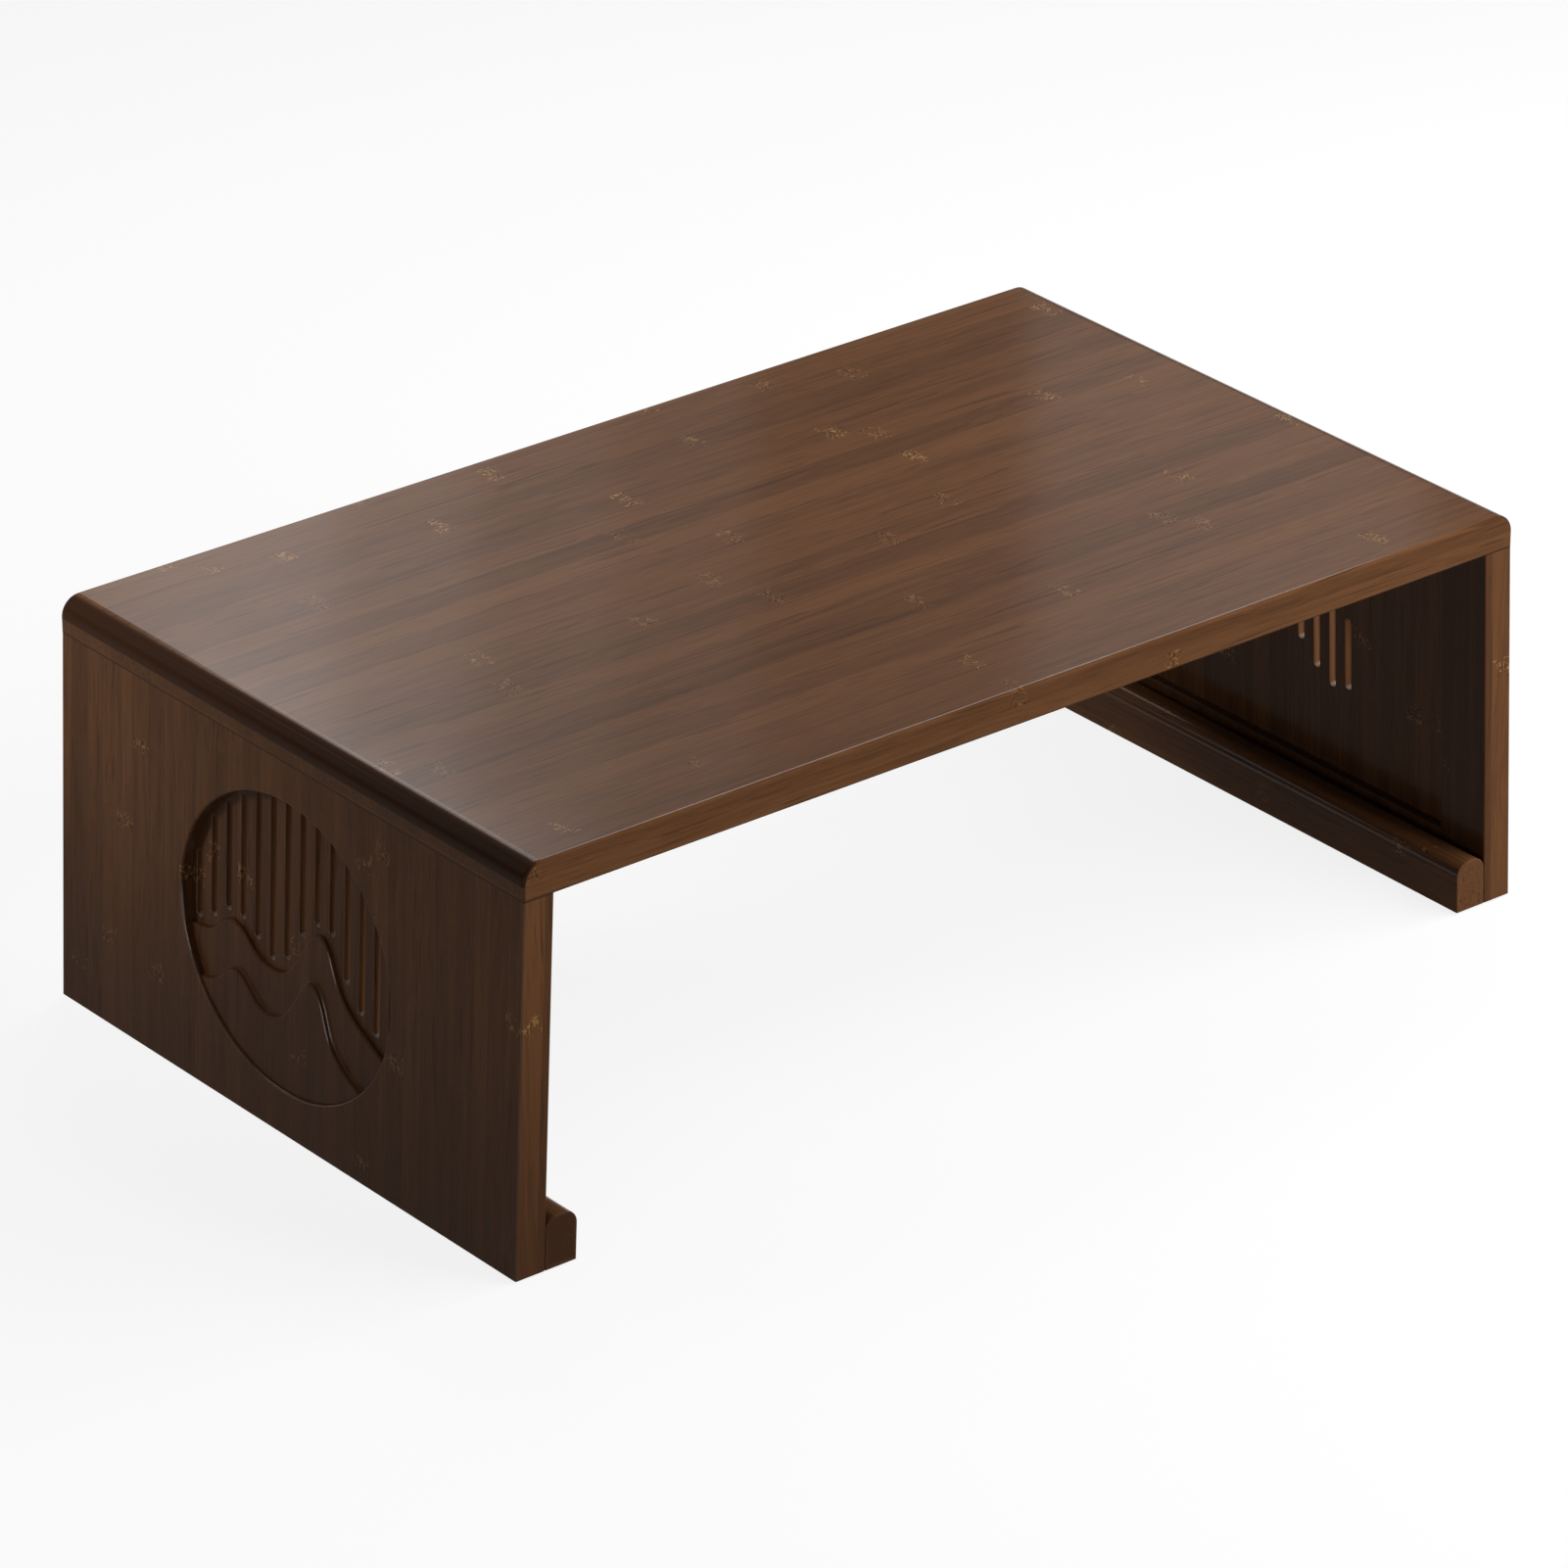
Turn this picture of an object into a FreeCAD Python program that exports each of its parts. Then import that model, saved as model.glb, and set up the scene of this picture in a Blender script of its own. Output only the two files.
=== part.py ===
import FreeCAD, Part
import math
import os
import Sketcher

# Low floor table: a thick top lies on two carved side panels, and a rounded rail runs along the
# inner foot of each panel. Dowels place the top, cam locks pull it down, and dowels hold the rails.
# The panels lean, so that the feet stand further out than the top.
# Millimetres. X runs along the table, -Y is the front, Z is up, and the origin is on the floor
# below the middle of the top.

doc = FreeCAD.newDocument("low_floor_table")
sizes = doc.addObject("Spreadsheet::Sheet", "sizes")

driving_sizes = {
    # Overall
    "table_length": 1000,
    "table_width": 600,
    "table_height": 350,
    # Top: its two ends carry a rounded bead that stands a little proud of the panels
    "top_thick": 30,
    "bead_radius": 17,
    "bead_land": 1,
    "bead_proud": 1,
    "top_edge_round": 3,
    # Side panels: each foot stands out a little from the joint under the top
    "panel_thick": 28,
    "panel_edge_round": 1.5,
    "foot_splay": 13.5,
    # Inner face of each panel: a field sunk between thick borders
    "field_thick": 19.5,
    "field_side_border": 53,
    "field_top_border": 28,
    "field_rail_gap": 4,
    "field_edge_round": 2,
    # Carved round window on each panel, a little wider than high, with two ranges of hills at their
    # own depths
    "round_margin": 36,
    "round_stretch": 1.11,
    "round_rise": 1.8,
    "rim_round": 1.8,
    "front_hill_depth": 2.3,
    "back_hill_depth": 6.2,
    "sky_depth": 10,
    "hill_edge_round": 1.8,
    # Upright slots through the sky
    "slot_width": 7.6,
    "slot_pitch": 19.35,
    "slot_rim_gap": 3,
    "slot_hill_gap": 4,
    "slot_least_rise": 26,
    "slot_edge_round": 0.7,
    # Foot rails
    "rail_thick": 30,
    "rail_height": 46,
    "rail_round": 12,
    "rail_end_round": 1,
    # Felt pads under the feet
    "pad_thick": 2,
    "pad_diameter": 40,
    "pad_inset": 50,
    # Dowels between the top and the panels
    "top_dowel_diameter": 10,
    "top_dowel_in_top": 16,
    "top_dowel_in_panel": 24,
    "top_dowel_inner_spot": 80,
    "top_dowel_inset": 60,
    # Dowels between the rails and the panels
    "rail_dowel_diameter": 8,
    "rail_dowel_in_rail": 16,
    "rail_dowel_in_panel": 13,
    "rail_dowel_inset": 80,
    "rail_dowel_lift": 21,
    "dowel_play": 0.1,
    "dowel_end_play": 0.8,
    # Cam locks: a turned disc in the panel pulls on a bolt that is screwed into the top
    "cam_diameter": 15,
    "cam_play": 0.15,
    "cam_past_bolt": 6,
    "cam_drop": 16,
    "cam_inset": 135,
    "cam_socket_diameter": 6,
    "cam_socket_depth": 3,
    "bolt_diameter": 6,
    "bolt_thread_length": 14,
    "bolt_hole_play": 0.5,
    "bolt_neck_diameter": 4,
    "bolt_neck_length": 8,
    "bolt_head_diameter": 7,
    "bolt_head_length": 5,
    "bolt_play": 0.3,
    # Push-in caps over the cam locks
    "cap_overlap": 1.5,
    "cap_thick": 1.5,
    "cap_stub_length": 2,
}
for row, (alias, size) in enumerate(driving_sizes.items(), start=1):
    sizes.set(f"A{row}", alias)
    sizes.set(f"B{row}", str(size))
    sizes.setAlias(f"B{row}", alias)
doc.recompute()

# Sizes that follow from the driving ones
panel_height = "(sizes.table_height - sizes.top_thick - sizes.pad_thick)"
panel_top = "(sizes.table_height - sizes.top_thick)"
panel_face = "(sizes.table_length / 2 - sizes.bead_proud)"
panel_middle = f"({panel_face} - sizes.panel_thick / 2)"
panel_slant = f"sqrt({panel_height} ^ 2 + sizes.foot_splay ^ 2)"
lean = f"(sizes.foot_splay / {panel_height})"
lean_cosine = f"({panel_height} / {panel_slant})"
lean_sine = f"(sizes.foot_splay / {panel_slant})"
rail_face = "(sizes.panel_thick + sizes.rail_thick)"
field_sink = "(sizes.panel_thick - sizes.field_thick)"
round_half_height = f"({panel_slant} / 2 - sizes.round_margin)"
round_half_width = f"({round_half_height} * sizes.round_stretch)"
round_lift = f"({panel_slant} / 2 + sizes.round_rise)"
slot_room = "(sizes.slot_rim_gap + sizes.slot_width / 2)"
arch_half_height = f"({round_half_height} - {slot_room})"
arch_half_width = f"({round_half_width} - {slot_room})"
bolt_lift = f"({panel_top} - sizes.cam_drop)"
cam_lift = f"({panel_slant} + sizes.panel_thick / 2 * {lean_sine} - sizes.cam_drop * {lean_cosine})"
cam_end = (
    f"(sizes.panel_thick / 2 * {lean_cosine} + sizes.cam_drop * {lean_sine} - sizes.cam_past_bolt)")
cam_depth = f"(sizes.panel_thick - {cam_end})"
half_width = "(sizes.table_width / 2)"
top_dowel_spots = [
    "sizes.top_dowel_inner_spot", f"{half_width} - sizes.top_dowel_inset",
    "-sizes.top_dowel_inner_spot", f"-{half_width} + sizes.top_dowel_inset",
]
cam_spots = [f"{half_width} - sizes.cam_inset", f"-{half_width} + sizes.cam_inset"]
rail_dowel_spots = [
    f"{half_width} - sizes.rail_dowel_inset", "0", f"-{half_width} + sizes.rail_dowel_inset",
]

# How closely places are compared, the least volume that a cut must take away, and how many points
# a hill's outline is measured at
same_place = 0.01
least_cut = 1
outline_samples = 400

# Hill outlines as (towards the front, up) from the middle of the round, in shares of its half width
# and half height
back_hill_points = [
    (-1.10, -0.26), (-0.93, -0.25), (-0.77, -0.21), (-0.58, -0.07), (-0.47, -0.10), (-0.36, -0.19),
    (-0.23, -0.24), (-0.08, -0.22), (0.12, 0.04), (0.29, 0.18), (0.37, 0.07), (0.44, -0.09),
    (0.55, -0.22), (0.70, -0.32), (1.10, -0.60),
]
front_hill_points = [
    (-1.10, -0.62), (-0.86, -0.57), (-0.68, -0.51), (-0.50, -0.38), (-0.40, -0.43), (-0.31, -0.51),
    (-0.19, -0.55), (-0.06, -0.51), (0.12, -0.26), (0.24, -0.16), (0.31, -0.24), (0.37, -0.40),
    (0.42, -0.51), (0.53, -0.62), (0.68, -0.70), (1.10, -0.84),
]


def amount(expression):
    """The value of an expression on the sheet's sizes."""
    return float(sizes.evalExpression(expression))


def bind(feature, **expressions):
    """Tie a feature's sizes to the sheet."""
    for name, expression in expressions.items():
        feature.setExpression(name, expression)


def put(feature, x="0", y="0", z="0"):
    """Tie a sub-part's place to the sheet."""
    for axis, expression in zip("xyz", (x, y, z)):
        feature.setExpression(f"Placement.Base.{axis}", expression)


def lean_angle():
    """How far the side panels lean from the upright, in degrees."""
    return math.degrees(math.atan(amount(lean)))


def seat_on_side(feature, side):
    """Put a piece made in a panel's own frame in its place: X inwards from the outer face, Z up the
    panel, and the origin at the outer edge of the foot."""
    facing = FreeCAD.Rotation(FreeCAD.Vector(0, 0, 1), 0 if side < 0 else 180)
    leaning = FreeCAD.Rotation(FreeCAD.Vector(0, 1, 0), -side * lean_angle())
    feature.Placement.Rotation = leaning * facing
    put(feature, x=f"{side} * ({panel_face} + sizes.foot_splay)", z="sizes.pad_thick")


def origin_plane(body, role):
    return next(plane for plane in body.Origin.OriginFeatures if plane.Role == role)


def new_sketch(body, name, role, offset="0"):
    """A sketch on one of the body's own planes, moved along the plane's normal."""
    sketch = body.newObject("Sketcher::SketchObject", name)
    sketch.AttachmentSupport = [(origin_plane(body, role), "")]
    sketch.MapMode = "FlatFace"
    sketch.setExpression("AttachmentOffset.Base.z", offset)
    return sketch


def dimension(sketch, kind, *points, size):
    """A sketch dimension tied to the sheet."""
    index = sketch.addConstraint(Sketcher.Constraint(kind, *points, amount(size)))
    sketch.setExpression(f"Constraints[{index}]", size)


def distance_from_origin(sketch, kind, shape, point, size):
    """Place a point of a sketch by its signed distance from the sketch's origin."""
    if amount(size) < 0:
        dimension(sketch, kind, shape, point, -1, 1, size=f"-({size})")
    else:
        dimension(sketch, kind, -1, 1, shape, point, size=size)


def draw_rectangle(sketch, left, right, bottom, top):
    """A rectangle whose four sides are placed by expressions."""
    x = (amount(left), amount(right))
    y = (amount(bottom), amount(top))
    corners = [FreeCAD.Vector(x[i], y[j], 0) for i, j in ((0, 0), (1, 0), (1, 1), (0, 1))]
    sides = [
        sketch.addGeometry(Part.LineSegment(corners[i], corners[(i + 1) % 4]), False)
        for i in range(4)
    ]
    for i in range(4):
        sketch.addConstraint(Sketcher.Constraint("Coincident", sides[i], 2, sides[(i + 1) % 4], 1))
        level = "Horizontal" if i % 2 == 0 else "Vertical"
        sketch.addConstraint(Sketcher.Constraint(level, sides[i]))
    distance_from_origin(sketch, "DistanceX", sides[0], 1, left)
    distance_from_origin(sketch, "DistanceX", sides[1], 1, right)
    distance_from_origin(sketch, "DistanceY", sides[0], 1, bottom)
    distance_from_origin(sketch, "DistanceY", sides[2], 1, top)


def draw_outline(sketch, corners):
    """A closed outline of straight sides whose corners are placed by expressions."""
    places = [FreeCAD.Vector(amount(x), amount(y), 0) for x, y in corners]
    count = len(corners)
    sides = [
        sketch.addGeometry(Part.LineSegment(places[i], places[(i + 1) % count]), False)
        for i in range(count)
    ]
    for i, (x, y) in enumerate(corners):
        sketch.addConstraint(Sketcher.Constraint("Coincident", sides[i - 1], 2, sides[i], 1))
        distance_from_origin(sketch, "DistanceX", sides[i], 1, x)
        distance_from_origin(sketch, "DistanceY", sides[i], 1, y)


def draw_circles(sketch, centres, diameter):
    """Circles of one diameter at places given by expressions."""
    for x, y in centres:
        middle = FreeCAD.Vector(amount(x), amount(y), 0)
        circle = sketch.addGeometry(
            Part.Circle(middle, FreeCAD.Vector(0, 0, 1), amount(diameter) / 2), False)
        dimension(sketch, "Diameter", circle, size=diameter)
        distance_from_origin(sketch, "DistanceX", circle, 3, x)
        distance_from_origin(sketch, "DistanceY", circle, 3, y)


def draw_oval(sketch, lift, half_wide, half_high):
    """An oval that is wider than high, above the sketch's origin."""
    middle = FreeCAD.Vector(0, amount(lift), 0)
    side_end = middle + FreeCAD.Vector(amount(half_wide), 0, 0)
    top_end = middle + FreeCAD.Vector(0, amount(half_high), 0)
    oval = sketch.addGeometry(Part.Ellipse(side_end, top_end, middle), False)
    sketch.exposeInternalGeometry(oval)
    long_axis = oval + 1
    short_axis = oval + 2
    sketch.addConstraint(Sketcher.Constraint("Horizontal", long_axis))
    dimension(sketch, "Distance", long_axis, size=f"2 * {half_wide}")
    dimension(sketch, "Distance", short_axis, size=f"2 * {half_high}")
    sketch.addConstraint(Sketcher.Constraint("PointOnObject", oval, 3, -2))
    distance_from_origin(sketch, "DistanceY", oval, 3, lift)


def pad(body, name, sketch, length, both_ways=False):
    feature = body.newObject("PartDesign::Pad", name)
    feature.Profile = sketch
    feature.Midplane = both_ways
    bind(feature, Length=length)
    doc.recompute()
    return feature


def pocket(body, name, sketch, length=None, away=False, both_ways=False):
    """Cut a sketch into the body, to a depth or right through. Stops if nothing was cut."""
    before = body.Shape.Volume
    feature = body.newObject("PartDesign::Pocket", name)
    feature.Profile = sketch
    feature.Reversed = away
    if length is None:
        feature.Type = "ThroughAll"
        feature.Midplane = both_ways
    else:
        bind(feature, Length=length)
    doc.recompute()
    if feature.Shape.Volume > before - least_cut:
        raise RuntimeError(f"{body.Label}: {name} cut nothing")
    return feature


def round_edges(body, name, radius, wanted):
    """Round every edge of the body that the test picks out."""
    base = body.Tip
    names = [f"Edge{i}" for i, edge in enumerate(base.Shape.Edges, start=1) if wanted(edge)]
    if not names:
        raise RuntimeError(f"{body.Label}: {name} found no edge")
    feature = body.newObject("PartDesign::Fillet", name)
    feature.Base = (base, names)
    bind(feature, Radius=radius)
    doc.recompute()
    return feature


def lies_at(edge, x=None, y=None, z=None):
    """Whether an edge lies in the planes named."""
    box = edge.BoundBox
    limits = ((x, box.XMin, box.XMax), (y, box.YMin, box.YMax), (z, box.ZMin, box.ZMax))
    return all(
        place is None or max(abs(low - place), abs(high - place)) < same_place
        for place, low, high in limits
    )


def hill_curve(points, front):
    """A hill's outline in the panel's own Y and Z, as a smooth curve."""
    reach = amount(round_half_width)
    rise = amount(round_half_height)
    lift = amount(round_lift)
    places = [
        FreeCAD.Vector(front * along * reach, lift + up * rise, 0)
        for along, up in points
    ]
    curve = Part.BSplineCurve()
    curve.interpolate(places)
    return curve


def raise_hill(body, name, points, front, depth):
    """Fill the round from its foot up to a hill's outline, to the hill's own depth."""
    curve = hill_curve(points, front)
    start = curve.value(curve.FirstParameter)
    end = curve.value(curve.LastParameter)
    foot = amount("sizes.round_margin") / 2
    below_end = FreeCAD.Vector(end.x, foot, 0)
    below_start = FreeCAD.Vector(start.x, foot, 0)
    sketch = new_sketch(body, f"{name}_outline", "YZ_Plane", depth)
    outline = [
        sketch.addGeometry(curve, False),
        sketch.addGeometry(Part.LineSegment(end, below_end), False),
        sketch.addGeometry(Part.LineSegment(below_end, below_start), False),
        sketch.addGeometry(Part.LineSegment(below_start, start), False),
    ]
    for i in range(4):
        sketch.addConstraint(
            Sketcher.Constraint("Coincident", outline[i], 2, outline[(i + 1) % 4], 1))
    pad(body, name, sketch, f"(sizes.sky_depth + sizes.field_thick) / 2 - {depth}")


def slot_middles():
    """As many evenly spaced slots as find their least height beside the rim."""
    least_share = amount(f"sizes.slot_least_rise / {arch_half_height}")
    reach = amount(arch_half_width) * math.sqrt(1 - least_share ** 2)
    pitch = amount("sizes.slot_pitch")
    count = int(2 * reach / pitch) + 1
    return [(i - (count - 1) / 2) * pitch for i in range(count)]


def slot_reach(curve, middle):
    """The middles of a slot's two round ends: clear of the hills below and of the rim."""
    hill_room = amount("sizes.slot_width / 2 + sizes.slot_hill_gap")
    outline = curve.discretize(outline_samples)
    hill_top = max(point.y for point in outline if abs(point.x - middle) < hill_room)
    share = middle / amount(arch_half_width)
    rise = amount(arch_half_height) * math.sqrt(1 - share ** 2)
    lift = amount(round_lift)
    return max(hill_top + hill_room, lift - rise), lift + rise


def draw_slot(sketch, middle, low, high, half):
    """An upright slot with round ends."""
    normal = FreeCAD.Vector(0, 0, 1)
    low_end = Part.Circle(FreeCAD.Vector(middle, low, 0), normal, half)
    high_end = Part.Circle(FreeCAD.Vector(middle, high, 0), normal, half)
    outline = [
        sketch.addGeometry(Part.ArcOfCircle(high_end, 0, math.pi), False),
        sketch.addGeometry(Part.LineSegment(
            FreeCAD.Vector(middle - half, high, 0), FreeCAD.Vector(middle - half, low, 0)), False),
        sketch.addGeometry(Part.ArcOfCircle(low_end, math.pi, 2 * math.pi), False),
        sketch.addGeometry(Part.LineSegment(
            FreeCAD.Vector(middle + half, low, 0), FreeCAD.Vector(middle + half, high, 0)), False),
    ]
    for i in range(4):
        sketch.addConstraint(
            Sketcher.Constraint("Coincident", outline[i], 2, outline[(i + 1) % 4], 1))


def sink_field(body):
    """The sunk field on the inner face, from just above the rail to the border under the top."""
    outline = new_sketch(body, "field_outline", "YZ_Plane", "sizes.panel_thick")
    reach = f"{half_width} - sizes.field_side_border"
    draw_rectangle(
        outline, f"-({reach})", reach,
        "sizes.rail_height + sizes.field_rail_gap", f"{panel_slant} - sizes.field_top_border")
    pocket(body, "sunk_field", outline, field_sink)

    thick = amount("sizes.panel_thick")
    board_end = amount(half_width) - same_place
    round_edges(
        body, "soft_field_edges", "sizes.field_edge_round",
        lambda edge: lies_at(edge, x=thick)
        and max(-edge.BoundBox.YMin, edge.BoundBox.YMax) < board_end)


def clear_of_rim(edge):
    """Whether the middle of an edge lies well inside the round, and not on its wall."""
    middle = edge.valueAt((edge.FirstParameter + edge.LastParameter) / 2)
    along = middle.y / amount(round_half_width)
    up = (middle.z - amount(round_lift)) / amount(round_half_height)
    return math.hypot(along, up) < 1 - same_place


def carve_round(body, front):
    """The round window: a sunk sky, two ranges of hills, and upright slots through the sky."""
    sky = new_sketch(body, "round_outline", "YZ_Plane")
    draw_oval(sky, round_lift, round_half_width, round_half_height)
    pocket(body, "sunk_sky", sky, "sizes.sky_depth", away=True)
    round_edges(
        body, "soft_rim", "sizes.rim_round",
        lambda edge: lies_at(edge, x=0) and isinstance(edge.Curve, Part.Ellipse))
    raise_hill(body, "back_hills", back_hill_points, front, "sizes.back_hill_depth")
    raise_hill(body, "front_hills", front_hill_points, front, "sizes.front_hill_depth")

    hill_depths = (amount("sizes.back_hill_depth"), amount("sizes.front_hill_depth"))
    round_edges(
        body, "soft_hill_edges", "sizes.hill_edge_round",
        lambda edge: any(lies_at(edge, x=depth) for depth in hill_depths)
        and clear_of_rim(edge))

    slots = new_sketch(body, "slot_outlines", "YZ_Plane")
    hills = hill_curve(back_hill_points, front)
    for middle in slot_middles():
        low, high = slot_reach(hills, middle)
        draw_slot(slots, middle, low, high, amount("sizes.slot_width") / 2)
    pocket(body, "sky_slots", slots, away=True)

    slot_faces = (amount("sizes.sky_depth"), amount("sizes.field_thick"))
    longest_slot = amount(f"2 * {arch_half_height}")
    round_edges(
        body, "soft_slot_edges", "sizes.slot_edge_round",
        lambda edge: any(lies_at(edge, x=face) for face in slot_faces)
        and not isinstance(edge.Curve, (Part.BSplineCurve, Part.Ellipse))
        and edge.BoundBox.DiagonalLength < longest_slot)


def end_sketch(body, name):
    """A sketch on the panel's top end, which is level though the panel leans."""
    sketch = new_sketch(body, name, "XY_Plane", panel_slant)
    sketch.AttachmentOffset.Rotation = FreeCAD.Rotation(FreeCAD.Vector(0, 1, 0), -lean_angle())
    return sketch


def bore_panel(body):
    """Holes for the dowels, the cam locks and their bolts."""
    edge_middle = "sizes.panel_thick / 2"
    holes = end_sketch(body, "top_dowel_holes")
    draw_circles(
        holes, [(edge_middle, spot) for spot in top_dowel_spots],
        "sizes.top_dowel_diameter + 2 * sizes.dowel_play")
    pocket(body, "top_dowel_bores", holes, "sizes.top_dowel_in_panel + sizes.dowel_end_play")

    holes = end_sketch(body, "bolt_holes")
    draw_circles(
        holes, [(edge_middle, spot) for spot in cam_spots],
        "sizes.bolt_head_diameter + 2 * sizes.bolt_hole_play")
    pocket(body, "bolt_bores", holes, "sizes.cam_drop")

    holes = new_sketch(body, "cam_holes", "YZ_Plane", "sizes.panel_thick")
    draw_circles(
        holes, [(spot, cam_lift) for spot in cam_spots],
        "sizes.cam_diameter + 2 * sizes.cam_play")
    pocket(body, "cam_bores", holes, cam_depth)

    holes = new_sketch(body, "rail_dowel_holes", "YZ_Plane", "sizes.panel_thick")
    draw_circles(
        holes, [(spot, "sizes.rail_dowel_lift") for spot in rail_dowel_spots],
        "sizes.rail_dowel_diameter + 2 * sizes.dowel_play")
    pocket(body, "rail_dowel_bores", holes, "sizes.rail_dowel_in_panel + sizes.dowel_end_play")


def make_side_panel(label, side):
    """A carved panel whose two ends are level. Its hills fall to the front."""
    body = doc.addObject("PartDesign::Body", label)
    outline = new_sketch(body, "board_outline", "XZ_Plane")
    rise = f"sizes.panel_thick * {lean}"
    draw_outline(outline, [
        ("0", "0"), ("sizes.panel_thick", rise),
        ("sizes.panel_thick", f"{panel_slant} + {rise}"), ("0", panel_slant)])
    pad(body, "board", outline, "sizes.table_width", both_ways=True)
    sink_field(body)
    carve_round(body, front=side)
    bore_panel(body)

    reach = amount(half_width)
    corners = [(x, y) for x in (0, amount("sizes.panel_thick")) for y in (-reach, reach)]
    round_edges(
        body, "eased_corners", "sizes.panel_edge_round",
        lambda edge: any(lies_at(edge, x=x, y=y) for x, y in corners))
    seat_on_side(body, side)
    return body


def make_top():
    """The top, with a rounded bead along each end and eased long edges."""
    body = doc.addObject("PartDesign::Body", "tabletop")
    outline = new_sketch(body, "board_outline", "XY_Plane")
    draw_rectangle(
        outline, "-sizes.table_length / 2", "sizes.table_length / 2", f"-{half_width}", half_width)
    pad(body, "board", outline, "sizes.top_thick")

    step = new_sketch(body, "bead_steps", "XZ_Plane")
    step_top = "sizes.top_thick - sizes.bead_radius - sizes.bead_land"
    draw_rectangle(step, f"-{panel_face} - sizes.bead_proud", f"-{panel_face}", "0", step_top)
    draw_rectangle(step, panel_face, f"{panel_face} + sizes.bead_proud", "0", step_top)
    pocket(body, "steps_under_beads", step, both_ways=True)

    thick = amount("sizes.top_thick")
    ends = (amount("-sizes.table_length / 2"), amount("sizes.table_length / 2"))
    round_edges(
        body, "end_beads", "sizes.bead_radius",
        lambda edge: any(lies_at(edge, x=end, z=thick) for end in ends))
    long_sides = (-amount(half_width), amount(half_width))
    round_edges(
        body, "eased_long_edges", "sizes.top_edge_round",
        lambda edge: any(lies_at(edge, y=side, z=thick) for side in long_sides))

    holes = new_sketch(body, "dowel_holes", "XY_Plane")
    edge_middles = [f"-{panel_middle}", panel_middle]
    draw_circles(
        holes, [(x, y) for x in edge_middles for y in top_dowel_spots],
        "sizes.top_dowel_diameter + 2 * sizes.dowel_play")
    pocket(
        body, "dowel_bores", holes, "sizes.top_dowel_in_top + sizes.dowel_end_play", away=True)

    holes = new_sketch(body, "bolt_holes", "XY_Plane")
    draw_circles(
        holes, [(x, y) for x in edge_middles for y in cam_spots], "sizes.bolt_diameter")
    pocket(body, "bolt_bores", holes, "sizes.bolt_thread_length", away=True)
    put(body, z=panel_top)
    return body


def make_foot_rail(label, side):
    """A rail with a round top and a level foot, along the panel's inner face."""
    body = doc.addObject("PartDesign::Body", label)
    outline = new_sketch(body, "rail_outline", "XZ_Plane")
    draw_outline(outline, [
        ("sizes.panel_thick", f"sizes.panel_thick * {lean}"), (rail_face, f"{rail_face} * {lean}"),
        (rail_face, "sizes.rail_height"), ("sizes.panel_thick", "sizes.rail_height")])
    pad(body, "rail", outline, "sizes.table_width", both_ways=True)

    faces = (amount("sizes.panel_thick"), amount(rail_face))
    height = amount("sizes.rail_height")
    round_edges(
        body, "round_top", "sizes.rail_round",
        lambda edge: any(lies_at(edge, x=x, z=height) for x in faces))
    ends = (-amount(half_width), amount(half_width))
    round_edges(
        body, "eased_ends", "sizes.rail_end_round",
        lambda edge: any(lies_at(edge, y=end) for end in ends) and lies_at(edge, z=height))

    holes = new_sketch(body, "dowel_holes", "YZ_Plane", "sizes.panel_thick")
    draw_circles(
        holes, [(spot, "sizes.rail_dowel_lift") for spot in rail_dowel_spots],
        "sizes.rail_dowel_diameter + 2 * sizes.dowel_play")
    pocket(
        body, "dowel_bores", holes, "sizes.rail_dowel_in_rail + sizes.dowel_end_play", away=True)
    seat_on_side(body, side)
    return body


def cylinder(name, diameter, length):
    feature = doc.addObject("Part::Cylinder", name)
    bind(feature, Radius=f"({diameter}) / 2", Height=length)
    return feature


def group(label, members):
    """Separate solids that share one node."""
    compound = doc.addObject("Part::Compound", label)
    compound.Links = members
    return compound


def lay_along_x(feature):
    """Turn an upright piece so that its own Z runs inwards, away from the panel's outer face."""
    feature.Placement.Rotation = FreeCAD.Rotation(FreeCAD.Vector(0, 1, 0), 90)


def make_top_dowels(label, side):
    dowels = []
    for i, spot in enumerate(top_dowel_spots):
        dowel = cylinder(
            f"{label}_{i}", "sizes.top_dowel_diameter",
            "sizes.top_dowel_in_top + sizes.top_dowel_in_panel")
        put(dowel, f"{side} * {panel_middle}", spot, f"{panel_top} - sizes.top_dowel_in_panel")
        dowels.append(dowel)
    return group(label, dowels)


def make_rail_dowels(label, side):
    dowels = []
    for i, spot in enumerate(rail_dowel_spots):
        dowel = cylinder(
            f"{label}_{i}", "sizes.rail_dowel_diameter",
            "sizes.rail_dowel_in_rail + sizes.rail_dowel_in_panel")
        lay_along_x(dowel)
        put(dowel, "sizes.panel_thick - sizes.rail_dowel_in_panel", spot, "sizes.rail_dowel_lift")
        dowels.append(dowel)
    node = group(label, dowels)
    seat_on_side(node, side)
    return node


def make_cam_bolt(name, spot, side):
    """A bolt with a threaded stem in the top, a thin neck and a round head inside the cam."""
    stem_length = "sizes.cam_drop - sizes.bolt_neck_length + sizes.bolt_thread_length"
    stem = cylinder(f"{name}_stem", "sizes.bolt_diameter", stem_length)
    put(stem, z="sizes.bolt_neck_length")
    neck = cylinder(f"{name}_neck", "sizes.bolt_neck_diameter", "sizes.bolt_neck_length")
    head = cylinder(f"{name}_head", "sizes.bolt_head_diameter", "sizes.bolt_head_length")
    put(head, z="-sizes.bolt_head_length / 2")
    bolt = doc.addObject("Part::MultiFuse", name)
    bolt.Shapes = [stem, neck, head]
    put(bolt, f"{side} * {panel_middle}", spot, bolt_lift)
    return bolt


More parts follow.
